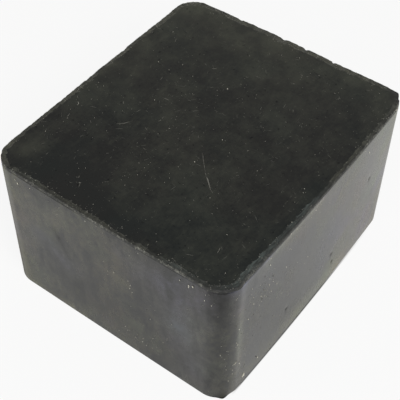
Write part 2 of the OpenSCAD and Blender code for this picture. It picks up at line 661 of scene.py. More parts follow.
@dataclass(frozen=True)
class PaleFloor:
    """A white matt laminate sheet, lit to plain white, that keeps a soft shadow.

    Part of its white is its own light. What a gloss mirrors of it fades at the block's foot,
    where a real sheet gets less light from the tent. A thin dark seam of shade hugs the foot.
    """

    name: str = "white_matt_laminate"
    colour: str = "#f2f2f0"
    seen_own_light: float = 0.85
    mirrored_own_light: float = 0.6
    foot_share: float = 0.30
    foot_reach_mm: float = 16.0
    seam_colour: str = "#3a3a38"
    seam_reach_mm: float = 0.32
    seam_bow_mm: float = 0.65
    seam_near_end: Span = (-0.78, -0.90)
    seam_far_end: Span = (0.15, 0.80)

    def build(self, half_x: float, half_y: float) -> bpy.types.Material:
        """Builds the material.

        Args:
            half_x: Half the width of what stands on the floor, in metres.
            half_y: Half its depth, in metres.

        Returns:
            The finished material.
        """
        material = bpy.data.materials.new(self.name)
        material.use_nodes = True
        tree = material.node_tree
        tree.nodes.remove(tree.nodes["Principled BSDF"])
        add = partial(add_node, tree)
        place = add("ShaderNodeTexCoord", output="Object")
        white = add("ShaderNodeEmission", WHITE, 1.0)

        outside = add("ShaderNodeVectorMath", place, operation="ABSOLUTE")
        beyond = add("ShaderNodeVectorMath", outside, (half_x, half_y, 0.0), operation="SUBTRACT")
        gap = add("ShaderNodeVectorMath", beyond, (0.0, 0.0, 0.0), operation="MAXIMUM")
        away = add("ShaderNodeVectorMath", gap, operation="LENGTH")
        reach = (0.0, self.foot_reach_mm * MM, self.foot_share, 1.0)
        lit = add("ShaderNodeMapRange", away, *reach, interpolation_type="SMOOTHSTEP")

        # the seam follows the swelling foot of the two long sides, ends short of the front
        # corners and thins out towards the back ones
        sideways = add("ShaderNodeSeparateXYZ", outside, output="X")
        share_y = add("ShaderNodeSeparateXYZ", place, output="Y")
        share_y = add("ShaderNodeMath", share_y, half_y, operation="DIVIDE")
        drawn_in = add("ShaderNodeMath", share_y, share_y, operation="MULTIPLY")
        drawn_in = add("ShaderNodeMath", drawn_in, self.seam_bow_mm * MM, operation="MULTIPLY")
        clear = add("ShaderNodeMath", sideways, drawn_in, operation="ADD")
        clear = add("ShaderNodeMath", clear, half_x, operation="SUBTRACT")
        seam = add("ShaderNodeMapRange", clear, 0.0, self.seam_reach_mm * MM, *UNIT)
        for end in (self.seam_near_end, self.seam_far_end):
            past = add("ShaderNodeMapRange", share_y, *end, *UNIT)
            seam = add("ShaderNodeMath", seam, past, operation="MAXIMUM")

        # the seam shows to the camera alone, so it throws no dark light back on the block
        ray = add("ShaderNodeLightPath").node.outputs
        seen = ray["Is Camera Ray"]
        unseen = add("ShaderNodeMath", 1.0, seen, operation="SUBTRACT")
        plain = add("ShaderNodeMath", seam, unseen, operation="MAXIMUM")
        sheet = add("ShaderNodeMix", plain, self.seam_colour, self.colour, data_type="RGBA")
        matt = add("ShaderNodeBsdfDiffuse", sheet)
        mirrored = add(
            "ShaderNodeMath", ray["Is Glossy Ray"], ray["Is Transmission Ray"], operation="MAXIMUM"
        )
        weak = add("ShaderNodeMath", mirrored, self.mirrored_own_light, operation="MULTIPLY")
        weak = add("ShaderNodeMath", weak, lit, operation="MULTIPLY")
        strong = add("ShaderNodeMath", seen, self.seen_own_light, operation="MULTIPLY")
        strong = add("ShaderNodeMath", strong, seam, operation="MULTIPLY")
        share = add("ShaderNodeMath", strong, weak, operation="ADD")
        mixed = add("ShaderNodeMixShader", share, matt, white)
        feed(tree, tree.nodes["Material Output"].inputs["Surface"], mixed)
        return material


# ------------------------------------------------------------------ the block


@dataclass(frozen=True)
class Bow:
    """How far the middle of each side stands proud of its corners, in millimetres."""

    right: float
    back: float
    left: float
    front: float

    def sides(self) -> tuple[float, float, float, float]:
        """Lists the four sides in the order in which the outline is walked."""
        return (self.right, self.back, self.left, self.front)


@dataclass(frozen=True)
class RimStation:
    """How the trimmed rim stands at one place on the outline.

    `place` counts segments of the outline, so 0.5 is the middle of the right side. The band
    is measured in from the side, over the steep bevel at its foot. `crest` is how pale the
    proud edge is scuffed, `shade` how much lighter the cut is than the top, and `crumbs` how
    many loose crumbs lie on a square millimetre of its ragged inner edge. Its grime darkens
    the groove, the lip and the bevel under the band: partly dirt, partly painted shade in that
    crease. Along the back the pale edge and the lighter cut are partly a painted highlight.
    """

    place: float
    band_mm: float
    bevel_mm: float
    groove_mm: float
    crest: float
    shade: float
    grime: float
    crumbs: float


@dataclass
class SkinRow:
    """One row of the section, with its shares of the masks.

    It lies `inset` in from the outline and `drop` under the top, in millimetres, one value
    for each column. `drawn_in` is the share of the way to the middle that it is shrunk.
    """

    inset: np.ndarray
    drop: np.ndarray
    zone: Zone
    tear: float = 0.0
    crest: float = 0.0
    shade: float = 0.0
    # grime and painted shade
    grime: float = 0.0
    crumbs: float = 0.0
    drawn_in: float = 0.0


@dataclass(frozen=True)
class Swell:
    """A soft rise at one place on the outline, or a fall where it is negative.

    `place` and `reach` count segments of the outline.
    """

    place: float
    reach: float
    rise_mm: float

    def height(self, places: np.ndarray) -> np.ndarray:
        """Measures the rise at each column, from the columns' places."""
        return self.rise_mm * np.exp(-(((places - self.place) / self.reach) ** 2))


@dataclass(frozen=True)
class Pit:
    """A small round pit or dent in the skin."""

    place_mm: Point
    radius_mm: float
    depth_mm: float


@dataclass(frozen=True)
class Patch:
    """A soft patch on the skin: a stripe between two points that fades out over a distance."""

    start_mm: Point
    end_mm: Point
    spread_mm: float
    amount: float

    def weight(self, points: np.ndarray) -> np.ndarray:
        """Measures how strongly the patch covers each point.

        Args:
            points: Points in millimetres, one to a row.

        Returns:
            A weight for each point, `amount` on the stripe and falling to nothing.
        """
        start, end = np.array(self.start_mm), np.array(self.end_mm)
        along = end - start
        length2 = max(float(along @ along), 1e-9)
        share = np.clip((points - start) @ along / length2, 0, 1)
        gap = np.linalg.norm(points - (start + share[:, None] * along), axis=1)
        return self.amount * np.exp(-((gap / self.spread_mm) ** 2))


@dataclass
class RubberBlock:
    """The moulding: a section swept round a bowed outline, then torn and rippled.

    Each column of the mesh stands on one point of the outline and climbs the section from
    the middle of the base, up the side, over the groove and the trimmed rim, and in over
    the top face.
    """

    low: Vector
    high: Vector
    corner_radius: float = 6.0
    base_radius: float = 0.4
    column_spacing: float = 0.3
    wall_rows: int = 22
    foot_rows: int = 6
    foot_tab_rise: float = 1.2
    skin_clearance: float = 0.1
    bow_base: Bow = field(default_factory=lambda: Bow(0.45, 0.45, 0.05, 0.05))
    bow_top: Bow = field(default_factory=lambda: Bow(0.5, 0.45, 0.05, 0.25))
    ripple_mm: float = 13.0
    ripple_depth_mm: float = 0.06
    ripple_level: float = 0.75
    tear_mm: float = 0.55
    tear_depth_mm: float = 0.27
    tear_level: Point = (0.5, 0.5, 0.55)
    wall_top: float = 1.35
    bevel_top: float = 0.10
    bevel_bottom: float = 0.84
    bevel_inset: float = 0.03
    bevel_ease: Span = (1.2, 1.6)
    bevel_sag: Span = (0.4, 0.6)
    bevel_shade: Span = (0.2, 0.4)
    bevel_tear: float = 0.45
    bevel_crumbs: float = 0.3
    band_rise: float = 0.08
    band_crest: float = 0.12
    band_crumbs: Span = (0.3, 0.7)
    band_inset: float = 0.05
    least_band: float = 0.2
    sag_mm: float = 0.05
    sag_tear: float = 0.8
    # painted shade in the pits
    pit_shade: float = 0.9
    # painted contact shadow along the foot
    foot_contact_shade: float = 0.5
    groove_tear: float = 0.1
    clean_foot: float = 0.3
    seed: int = 7

    # lengths of the blade's slow, quick and sharp wander along the rim
    WAVES = (5.5, 1.3, 0.6)
    # how much each of them changes a size of the rim, as shares of that size
    WANDER = {
        "bevel_mm": (0.25, 0.25, 0.3),
        "groove_mm": (0.5, 0.0, 0.0),
        "crest": (0.0, 0.6, 0.7),
        "shade": (0.4, 0.3, 0.0),
    }
    # how much each of them widens the band, in millimetres
    BAND_WANDER = (0.14, 0.22, 0.18)
    # how thick the dust lies on each zone, against the top face
    ZONE_DUST = {Zone.MOULDED: 0.12, Zone.CUT: 1.5, Zone.TOP: 1.0}
    # share of the groove's depth, drop under the top, and grime and painted shade of each row in the groove
    GROOVE_ROWS = ((0.8, 1.22, 0.15), (1.0, 1.08, 0.9))
    # inset, drop, tear, scuff, and grime and painted shade of each row on the upright lip over the groove
    LIP_ROWS = ((0.05, 1.00, 0.3, 0.5, 0.6), (0.02, 0.88, 0.4, 0.9, 0.5))
    # share of the way over the steep bevel, and its scuff
    BEVEL_ROWS = ((0.12, 1.0), (0.35, 0.9), (0.65, 0.5), (1.0, 0.3))
    # share of the way over the band
    BAND_ROWS = (0.2, 0.4, 0.6, 0.8, 0.93)
    # gap past the band, drop, zone, tear, scuff, shade and crumbs of the rows that end it
    END_ROWS = (
        (0.0, 0.01, Zone.CUT, 0.8, 0.3, 1.0, 1.0),
        (0.12, 0.0, Zone.TOP, 0.2, 0.0, 0.0, 0.5),
        (0.5, 0.0, Zone.TOP, 0.0, 0.0, 0.0, 0.08),
    )
    # shares of the way to the middle of the base and of the top, which close them
    BASE_ROWS = (0.9, 0.6, 0.3, 0.1, 0.03)
    TOP_ROWS = (0.03, 0.07, 0.14, 0.25, 0.38, 0.52, 0.66, 0.8, 0.92)
    # rows that follow a pit closely, in radii from its middle, and gaps next to the rim and foot
    PIT_STEPS = (-1, -0.6, -0.2, 0.2, 0.6, 1)
    FOOT_GAPS = (0.12, 0.5)
    RIM_GAPS = (0.1, 0.3, 0.8)

    # the rim, place by place round the block
    STATIONS = (
        RimStation(Segment.RIGHT + 0.0, 1.60, 0.42, 0.04, 0.30, 0.74, 0.38, 2.5),
        RimStation(Segment.RIGHT + 0.12, 1.50, 0.40, 0.04, 0.20, 0.74, 0.36, 2.0),
        RimStation(Segment.RIGHT + 0.30, 1.35, 0.32, 0.04, 0.14, 0.70, 0.35, 1.5),
        RimStation(Segment.RIGHT + 0.45, 1.10, 0.34, 0.04, 0.20, 0.55, 0.30, 2.0),
        RimStation(Segment.RIGHT + 0.70, 1.10, 0.32, 0.04, 0.26, 0.55, 0.25, 2.5),
        RimStation(Segment.RIGHT + 0.92, 1.15, 0.36, 0.04, 0.30, 0.60, 0.25, 3.0),
        RimStation(Segment.BACK_RIGHT + 0.05, 1.30, 0.30, 0.04, 0.75, 0.70, 0.05, 6.0),
        RimStation(Segment.BACK_RIGHT + 0.35, 1.20, 0.15, 0.10, 0.10, 0.20, 0.55, 2.0),
        RimStation(Segment.BACK_RIGHT + 0.75, 1.20, 0.12, 0.10, 0.00, 0.10, 0.90, 1.0),
        RimStation(Segment.BACK + 0.0, 1.60, 0.06, 0.04, 0.90, 0.90, 0.00, 3.0),
        RimStation(Segment.BACK + 0.5, 1.80, 0.05, 0.03, 1.00, 1.00, 0.00, 5.0),
        RimStation(Segment.BACK_LEFT + 0.5, 1.70, 0.05, 0.03, 1.00, 1.00, 0.00, 5.0),
        RimStation(Segment.LEFT + 0.5, 1.20, 0.06, 0.05, 0.80, 0.80, 0.00, 3.0),
        RimStation(Segment.FRONT_LEFT + 0.5, 1.50, 0.14, 0.12, 0.75, 1.00, 0.04, 3.0),
        RimStation(Segment.FRONT + 0.1, 1.10, 0.14, 0.12, 0.35, 0.40, 0.45, 4.0),
        RimStation(Segment.FRONT + 0.35, 1.00, 0.10, 0.08, 0.28, 0.30, 0.40, 4.5),
        RimStation(Segment.FRONT + 0.5, 0.90, 0.08, 0.05, 0.42, 0.35, 0.10, 5.0),
        RimStation(Segment.FRONT + 0.68, 0.90, 0.08, 0.03, 0.45, 0.35, 0.05, 4.0),
        RimStation(Segment.FRONT + 0.85, 1.00, 0.12, 0.04, 0.35, 0.35, 0.08, 3.5),
        RimStation(Segment.FRONT_RIGHT + 0.3, 1.25, 0.22, 0.10, 0.20, 0.30, 0.50, 3.0),
        RimStation(Segment.FRONT_RIGHT + 0.7, 1.60, 0.25, 0.10, 0.12, 0.55, 0.55, 2.0),
    )

    # bites out of the rim
    NICKS = (
        Swell(Segment.BACK_RIGHT + 0.60, 0.10, 0.18),
        Swell(Segment.BACK + 0.28, 0.008, 0.25),
        Swell(Segment.BACK + 0.43, 0.010, 0.30),
        Swell(Segment.BACK + 0.55, 0.012, 0.22),
        Swell(Segment.BACK + 0.80, 0.010, 0.20),
        Swell(Segment.LEFT + 0.35, 0.010, 0.18),
        Swell(Segment.FRONT_RIGHT + 0.42, 0.05, 0.15),
    )

    # where the lip of the rim stands proud, or is cut back
    LIP_TABS = (
        Swell(Segment.BACK_RIGHT + 0.66, 0.12, 0.8),
        Swell(Segment.BACK + 0.25, 0.14, -0.20),
        Swell(Segment.FRONT_RIGHT + 0.85, 0.12, 0.35),
    )

    # where the foot of the side stands proud, or is drawn in
    FOOT_TABS = (
        Swell(Segment.FRONT_RIGHT + 0.56, 0.11, 0.52),
        Swell(Segment.FRONT_RIGHT + 0.80, 0.12, -0.10),
        Swell(Segment.FRONT_RIGHT + 1.0, 0.10, 0.06),
        Swell(Segment.RIGHT + 0.0, 0.05, 0.06),
    )

    # pits of trapped air in the right side
    PITS = (
        Pit((35.2, 24.3, 26.6), 0.55, 0.40),
        Pit((35.4, -13.4, 11.4), 0.55, 0.38),
        Pit((35.4, 8.2, 11.4), 0.60, 0.45),
        Pit((35.3, 9.4, 7.2), 0.50, 0.35),
    )

    # where wax has bled out of the sides, and where the bloom's tint stands in for light: a
    # painted highlight down the near corner and along the right side's upper edge, and a
    # painted sheen on the far end of the right side
    BLOOMS_AND_HIGHLIGHTS = (
        Patch((-34.5, -39.5, 4.0), (-34.5, -39.5, 40.0), 5.0, 0.26),
        Patch((-30.0, -40.0, 36.0), (-5.0, -40.0, 36.0), 12.0, 0.04),
        Patch((-28.0, -40.0, 4.0), (6.0, -40.0, 4.0), 12.0, 0.03),
        Patch((-34.0, -40.0, 0.6), (-10.0, -40.0, 0.6), 1.4, 0.12),
        Patch((20.0, -40.0, 36.0), (26.0, -40.0, 8.0), 5.0, 0.06),
        Patch((-20.0, -40.0, 26.0), (-14.0, -40.0, 20.0), 3.5, 0.05),
        Patch((0.5, -40.0, 29.0), (6.0, -40.0, 26.0), 2.2, 0.05),
        # bloom, and partly a painted sheen where the far end of the right side mirrors more light
        Patch((35.0, 38.0, -4.0), (35.0, 38.0, 36.0), 22.0, 0.32),
        # painted highlight down the near corner, where it meets the right side
        Patch((35.0, -33.8, 9.0), (35.0, -33.8, 41.0), 1.1, 0.22),
        Patch((35.0, -24.0, 40.0), (35.0, 4.0, 41.0), 4.0, 0.07),
        # these two: painted highlight along the rounded upper edge of the right side
        Patch((35.0, -35.0, 42.0), (35.0, -26.0, 41.5), 2.4, 0.10),
        Patch((35.2, -36.0, 43.0), (35.2, -2.0, 43.0), 0.9, 0.26),
        Patch((35.0, -34.0, 2.5), (35.0, 30.0, 2.5), 3.0, 0.07),
        Patch((35.0, 5.0, 34.0), (35.0, 12.0, 4.0), 9.0, 0.06),
        Patch((35.0, -14.0, 2.5), (35.0, 14.0, 2.5), 3.0, 0.08),
    )

    # where the top gets more of the film colour, most along the back and left edges, or less near the front
    FILMS = (
        Patch((-34.0, 36.0, 44.5), (-10.0, 40.0, 44.5), 16.0, 0.09),
        Patch((-10.0, 40.0, 44.5), (26.0, 40.0, 44.5), 12.0, 0.06),
        Patch((-35.0, 30.0, 44.5), (-35.0, -8.0, 44.5), 9.0, 0.05),
        Patch((-30.0, -33.0, 44.5), (-28.8, -31.0, 44.5), 2.3, 0.22),
        Patch((-33.0, -20.0, 44.5), (-29.0, -22.0, 44.5), 4.0, -0.03),
        Patch((-34.6, 4.0, 44.5), (-34.6, -6.0, 44.5), 1.6, 0.12),
        Patch((-30.0, 17.0, 44.5), (-26.0, 8.0, 44.5), 4.0, 0.05),
        Patch((1.0, 24.0, 44.5), (12.0, 26.0, 44.5), 4.0, 0.05),
        Patch((2.0, 10.0, 44.5), (6.0, 5.0, 44.5), 3.0, 0.05),
        Patch((-1.0, -32.0, 44.5), (0.0, -33.0, 44.5), 2.4, 0.11),
        Patch((-20.0, 6.0, 44.5), (8.0, -18.0, 44.5), 9.0, 0.03),
        Patch((10.0, 39.0, 44.5), (32.0, 33.0, 44.5), 4.0, 0.05),
        Patch((-34.0, 34.0, 44.5), (-28.0, 38.0, 44.5), 4.0, 0.12),
        Patch((-24.0, -28.0, 44.5), (-10.0, -29.0, 44.5), 5.0, -0.06),
        Patch((-20.0, -36.5, 44.5), (6.0, -36.5, 44.5), 4.0, -0.08),
        Patch((33.0, -27.0, 44.5), (31.0, -36.0, 44.5), 3.0, -0.04),
    )

    # where the bloom and the film lean to blue, or to olive
    COOLS = (
        Patch((34.0, -38.0, 46.5), (34.0, -2.0, 46.5), 2.6, 2.2),
        Patch((19.0, -40.0, 36.0), (24.0, -40.0, 8.0), 6.5, 0.7),
        Patch((-21.0, -40.0, 25.0), (-14.0, -40.0, 20.0), 4.0, 0.8),
        Patch((35.0, 6.0, 24.0), (35.0, 2.0, 12.0), 7.0, 0.7),
        Patch((35.0, -24.0, 36.0), (35.0, -14.0, 34.0), 5.0, 0.6),
        Patch((12.0, -26.0, 44.5), (30.0, -34.0, 44.5), 9.0, 0.8),
        Patch((-22.0, -39.0, 44.5), (14.0, -39.0, 44.5), 9.0, 0.7),
        Patch((35.0, 26.0, 4.0), (35.0, 26.0, 38.0), 10.0, 0.35),
        # tints the painted highlight down the near corner
        Patch((35.0, -33.8, 2.0), (35.0, -33.8, 41.0), 1.8, 0.2),
        Patch((-32.0, -40.0, 38.0), (-20.0, -40.0, 36.0), 8.0, -0.8),
        Patch((-16.0, -40.0, 43.0), (14.0, -40.0, 43.0), 4.0, -0.8),
        Patch((-4.0, -40.0, 34.0), (12.0, -40.0, 8.0), 7.0, -0.6),
    )

    # where more loose dust lies than elsewhere, or less
    DUSTY = (
        Patch((-24.0, 12.0, 44.5), (-2.0, 4.0, 44.5), 7.0, 1.2),
        Patch((-14.0, -8.0, 44.5), (-8.0, -18.0, 44.5), 6.0, 1.5),
        Patch((-30.0, -33.0, 44.5), (30.0, -37.0, 44.5), 2.5, 0.8),
        Patch((35.0, -36.0, 8.0), (35.0, -24.0, 30.0), 7.0, 0.25),
        Patch((30.0, 30.0, 44.5), (32.0, -10.0, 44.5), 3.0, 0.8),
        Patch((10.0, -24.0, 44.5), (28.0, -32.0, 44.5), 7.0, -0.55),
        Patch((34.0, -36.8, 0.8), (34.8, -34.5, 0.8), 1.6, -1.5),
    )

    # where pale flecks have settled on the sides
    FLECKED = (
        Patch((35.0, -34.0, 38.0), (35.0, -20.0, 30.0), 6.0, 1.0),
        Patch((35.0, -36.0, 20.0), (35.0, -34.0, 6.0), 4.0, 1.2),
        Patch((35.0, -22.0, 42.0), (35.0, 16.0, 42.0), 2.5, 1.0),
        Patch((35.0, -20.0, 26.0), (35.0, -4.0, 22.0), 8.0, 0.4),
        Patch((-30.0, -40.0, 41.0), (28.0, -40.0, 41.0), 2.5, 0.7),
        Patch((0.0, -40.0, 28.0), (12.0, -40.0, 22.0), 5.0, 0.9),
        Patch((6.0, -40.0, 7.0), (22.0, -40.0, 12.0), 5.0, 0.5),
        Patch((34.0, -36.8, 0.8), (34.8, -34.5, 0.8), 1.6, -1.5),
    )

    # dark grime, and painted shade: the dark facet at the back right corner, the dimmed sheen
    # at the near and left corners, and the contact shadow at the near foot
    STAINS_AND_SHADE = (
        # painted shade on the steep facet of the back right corner
        Patch((32.9, 38.0, 44.4), (34.2, 36.8, 44.4), 0.8, 0.95),
        # these three: painted shade that dims the near corner's colour and sheen
        Patch((32.2, -38.6, 43.0), (32.2, -38.6, 38.0), 3.0, 0.24),
        Patch((32.4, -38.4, 43.0), (32.4, -38.4, 32.0), 3.0, 0.12),
        Patch((32.8, -38.3, 43.0), (32.8, -38.3, 4.0), 2.6, 0.09),
        Patch((-16.4, -40.0, 31.6), (-14.9, -40.0, 28.6), 0.8, 0.45),
        Patch((-14.9, -40.0, 28.6), (-12.0, -40.0, 22.1), 0.8, 0.20),
        Patch((29.4, -40.0, 42.6), (31.4, -39.8, 42.6), 0.5, 0.8),
        # painted contact shadow along the near foot
        Patch((32.2, -39.6, 0.0), (33.8, -38.2, 0.0), 0.9, 1.0),
        # these two: darker over broad parts of the right and front sides
        Patch((35.0, -27.0, 27.0), (35.0, -13.0, 10.0), 9.0, 0.24),
        Patch((-5.0, -40.0, 14.0), (14.0, -40.0, 8.0), 11.0, 0.25),
        # painted shade that dims the left corner's colour and sheen low down
        Patch((-34.2, -37.0, 14.0), (-34.2, -37.0, 0.0), 3.0, 0.25),
        Patch((1.0, -40.0, 34.0), (8.0, -40.0, 22.0), 7.0, 0.08),
    )

    # the left corner has lost its polish
    MATTS = (
        Patch((-34.0, -37.2, 44.0), (-34.0, -37.2, 0.0), 3.4, 1.0),
        Patch((-34.0, -36.8, 16.0), (-34.0, -36.8, 0.0), 3.0, 0.6),
    )

    def outline(self, bow: Bow) -> tuple[np.ndarray, np.ndarray]:
        """Walks round the block, seen from above, anticlockwise from the near corner.

        Args:
            bow: The swell of each side at this height.

        Returns:
            The points in millimetres, and each point's place counted in segments.
        """
        half_x, half_y = self.high.x / MM, self.high.y / MM
        radius = self.corner_radius
        right, back, left, front = bow.sides()
        centres = [
            (half_x - radius - right, half_y - radius - back),
            (-half_x + radius + left, half_y - radius - back),
            (-half_x + radius + left, -half_y + radius + front),
            (half_x - radius - right, -half_y + radius + front),
        ]
        lengths = [2 * (half_y - radius), 2 * (half_x - radius)] * 2
        arc_steps = round(radius * math.pi / 2 / self.column_spacing)
        points, places = [], []
        for k in range(4):
            facing = k * math.pi / 2
            outward = np.array([math.cos(facing), math.sin(facing)])
            start = np.array(centres[k - 1]) + radius * outward
            end = np.array(centres[k]) + radius * outward
            steps = round(lengths[k] / self.column_spacing)
            for i in range(steps):
                share = i / steps
                swell = bow.sides()[k] * 4 * share * (1 - share)
                points.append(start + (end - start) * share + outward * swell)
                places.append(2 * k + share)
            for i in range(arc_steps):
                angle = facing + (math.pi / 2) * i / arc_steps
                away = np.array([math.cos(angle), math.sin(angle)])
                points.append(np.array(centres[k]) + radius * away)
                places.append(2 * k + 1 + i / arc_steps)
        return np.array(points), np.array(places)

    def stations(self, places: np.ndarray, around: np.ndarray, length: float) -> dict[str, np.ndarray]:
        """Works out the rim at every column from the stations and the knife's wander.

        Args:
            places: Each column's place, counted in segments.
            around: Each column's distance along the outline, in millimetres.
            length: Length of the outline, in millimetres.

        Returns:
            One array for each size of a station, and the rim's sag.
        """
        known = [station.place for station in self.STATIONS]
        rim = {
            name: np.interp(places, known, [getattr(station, name) for station in self.STATIONS], period=8)
            for name in ("band_mm", "bevel_mm", "groove_mm", "crest", "shade", "grime", "crumbs")
        }
        waves = [ring_noise(around, length, wave, self.seed + k) for k, wave in enumerate(self.WAVES)]
        # masks stay between 0 and 1, and neither size here ever reaches 1 mm
        for name, shares in self.WANDER.items():
            factor = 1 + sum(share * wave for share, wave in zip(shares, waves))
            rim[name] = np.clip(rim[name] * factor, 0, 1)
        rim["band_mm"] = rim["band_mm"] + sum(mm * wave for mm, wave in zip(self.BAND_WANDER, waves))
        rim["sag"] = self.sag_mm * (1 + waves[1]) * (1 + self.sag_tear * waves[2])
        for name, tabs in (("lip", self.LIP_TABS), ("foot", self.FOOT_TABS)):
            rim[name] = sum(tab.height(places) for tab in tabs)
        for nick in self.NICKS:
            rim["sag"] = rim["sag"] + nick.height(places)
        return rim

    def rows(self, rim: dict[str, np.ndarray]) -> list[SkinRow]:
        """Lists the section from the foot of the side up to the top face.

        Args:
            rim: The rim's sizes at every column.

        Returns:
            The rows, lowest first.
        """
        height = self.high.z / MM - self.skin_clearance
        band, bevel, groove, sag = rim["band_mm"], rim["bevel_mm"], rim["groove_mm"], rim["sag"]
        flat = np.ones_like(band)
        listed: list[SkinRow] = []
        # the rounded foot, darkened with painted contact shadow
        for i in range(self.foot_rows):
            turn = math.pi / 2 * (1 - i / (self.foot_rows - 1))
            inset = self.base_radius * (1 - math.cos(turn))
            rise = self.base_radius * (1 - math.sin(turn))
            inset = inset - rim["foot"]
            listed.append(SkinRow(inset, flat * (height - rise), Zone.MOULDED, grime=self.foot_contact_shade))
        for level in self.wall_levels(height):
            fade = math.exp(-((level / self.foot_tab_rise) ** 2))
            listed.append(SkinRow(-rim["foot"] * fade, flat * (height - level), Zone.MOULDED))
        listed.append(SkinRow(flat * 0, flat * self.wall_top, Zone.MOULDED))
        for share, drop, grime in self.GROOVE_ROWS:
            row = SkinRow(groove * share, flat * drop, Zone.MOULDED, tear=self.groove_tear, grime=grime)
            listed.append(row)
        for inset, drop, tear, crest, grime in self.LIP_ROWS:
            row = SkinRow(flat * inset, flat * drop, Zone.CUT, tear=tear, crest=crest, grime=grime)
            listed.append(row)
        # the steep bevel, rounded over into the band and darkened with grime and painted shade; a nick
        # lowers and draws in its upper part
        ease_in, ease_down = self.bevel_ease
        for share, crest in self.BEVEL_ROWS:
            moved_in = self.bevel_sag[0] + self.bevel_sag[1] * share
            inset = self.bevel_inset + bevel * share**ease_in + sag * moved_in
            drop = self.bevel_top + bevel * (1 - share) ** ease_down + sag
            row = SkinRow(inset, np.minimum(drop, self.bevel_bottom), Zone.CUT, crest=crest, grime=1.0)
            row.shade = self.bevel_shade[0] + self.bevel_shade[1] * share
            row.tear = self.bevel_tear
            row.crumbs = self.bevel_crumbs
            listed.append(row)
        start = self.band_inset + bevel + sag
        width = np.maximum(band - start, self.least_band)
        for share in self.BAND_ROWS:
            drop = self.bevel_top - self.band_rise * share + sag * (1 - share)
            row = SkinRow(start + width * share, drop, Zone.CUT, tear=1.0, shade=1.0)
            row.crest = self.band_crest
            row.crumbs = self.band_crumbs[0] + self.band_crumbs[1] * share**2
            listed.append(row)
        for gap, drop, zone, tear, crest, shade, crumbs in self.END_ROWS:
            row = SkinRow(start + width + gap, flat * drop, zone, tear, crest, shade, crumbs=crumbs)
            listed.append(row)
        for row in listed:
            if row.zone != Zone.MOULDED:
                row.inset = row.inset - rim["lip"]
        return listed

    def wall_levels(self, height: float) -> list[float]:
        """Lists the heights of the rows up the side, close together where it is carved.

        Args:
            height: Height of the skin, in millimetres.

        Returns:
            The heights over the base, lowest first, in millimetres.
        """
        top = height - self.wall_top
        levels = list(np.linspace(self.base_radius, top, self.wall_rows)[1:-1])
        levels += [pit.place_mm[2] + step * pit.radius_mm for pit in self.PITS for step in self.PIT_STEPS]
        levels += [self.base_radius + gap for gap in self.FOOT_GAPS]
        levels += [top - gap for gap in self.RIM_GAPS]
        return sorted({round(float(level), 2) for level in levels})

    def cage(self, zones: dict[Zone, bpy.types.Material]) -> bpy.types.Object:
        """Builds the swept mesh with its zones and masks, before it is torn and rippled.

        Args:
            zones: The material of each zone.

        Returns:
            A mesh object that carries the zones, the masks and the rim's own coordinates.
        """
        height = self.high.z / MM - self.skin_clearance
        foot, places = self.outline(self.bow_base)
        head, _ = self.outline(self.bow_top)
        step = np.linalg.norm(np.roll(head, -1, axis=0) - head, axis=1)
        length = float(step.sum())
        around = np.concatenate([[0.0], np.cumsum(step)[:-1]])
        rim = self.stations(places, around, length)
        section = self.rows(rim)
        columns = len(foot)

        def shrunk(row: SkinRow, share: float) -> SkinRow:
            """Gives a row's flat copy that lies a share of the way to the middle."""
            return SkinRow(row.inset, row.drop, row.zone, drawn_in=share)

        below = [shrunk(section[0], share) for share in self.BASE_ROWS]
        above = [shrunk(section[-1], share) for share in self.TOP_ROWS]
        section = below + section + above
        levels, across = [], []
        for row in section:
            share = (height - row.drop) / height
            ring = foot * (1 - share)[:, None] + head * share[:, None]
            tangent = np.roll(ring, -1, axis=0) - np.roll(ring, 1, axis=0)
            outward = np.stack([tangent[:, 1], -tangent[:, 0]], axis=1)
            outward /= np.linalg.norm(outward, axis=1)[:, None]
            ring = (ring - outward * row.inset[:, None]) * (1 - row.drawn_in)
            levels.append(np.column_stack([ring, height - row.drop]))
            across.append(row.inset - row.drop)
        points = self.pitted(np.concatenate(levels))

        faces, corners = [], []
        span = np.append(around, length)
        for r in range(len(section) - 1):
            low, up = r * columns, (r + 1) * columns
            for c in range(columns):
                d = (c + 1) % columns
                faces.append((low + c, low + d, up + d, up + c))
                corners += [(span[c], across[r][c]), (span[c + 1], across[r][d])]
                corners += [(span[c + 1], across[r + 1][d]), (span[c], across[r + 1][c])]
        last = (len(section) - 1) * columns
        faces += [tuple(reversed(range(columns))), tuple(range(last, last + columns))]
        corners += [(0.0, 0.0)] * (2 * columns)
        # a face belongs to the zone of its upper row
        face_zones = [row.zone for row in section[1:] for _ in range(columns)] + [Zone.MOULDED, Zone.TOP]

        mesh = bpy.data.meshes.new("moulding_cage")
        mesh.from_pydata((points * MM).tolist(), [], faces)
        mesh.shade_smooth()
        for zone in Zone:
            mesh.materials.append(zones[zone])
        add_values(mesh, "zone", "INT", [int(zone) for zone in face_zones], "FACE")
        rim_way = mesh.uv_layers.new(name="rim_way")
        rim_way.data.foreach_set("uv", np.array(corners, dtype=np.float32).ravel())
        for name, values in self.masks(section, rim, points).items():
            add_values(mesh, name, "FLOAT", values.astype(np.float32))
        return add_object("moulding_cage", mesh)

    def pitted(self, points: np.ndarray) -> np.ndarray:
        """Presses the pits of the right side into the skin.

        Args:
            points: The mesh's points in millimetres.

        Returns:
            The moved points.
        """
        moved = points.copy()
        for pit in self.PITS:
            gap = np.linalg.norm(points - np.array(pit.place_mm), axis=1)
            moved[:, 0] -= pit.depth_mm * np.exp(-((gap / pit.radius_mm) ** 2))
        return moved

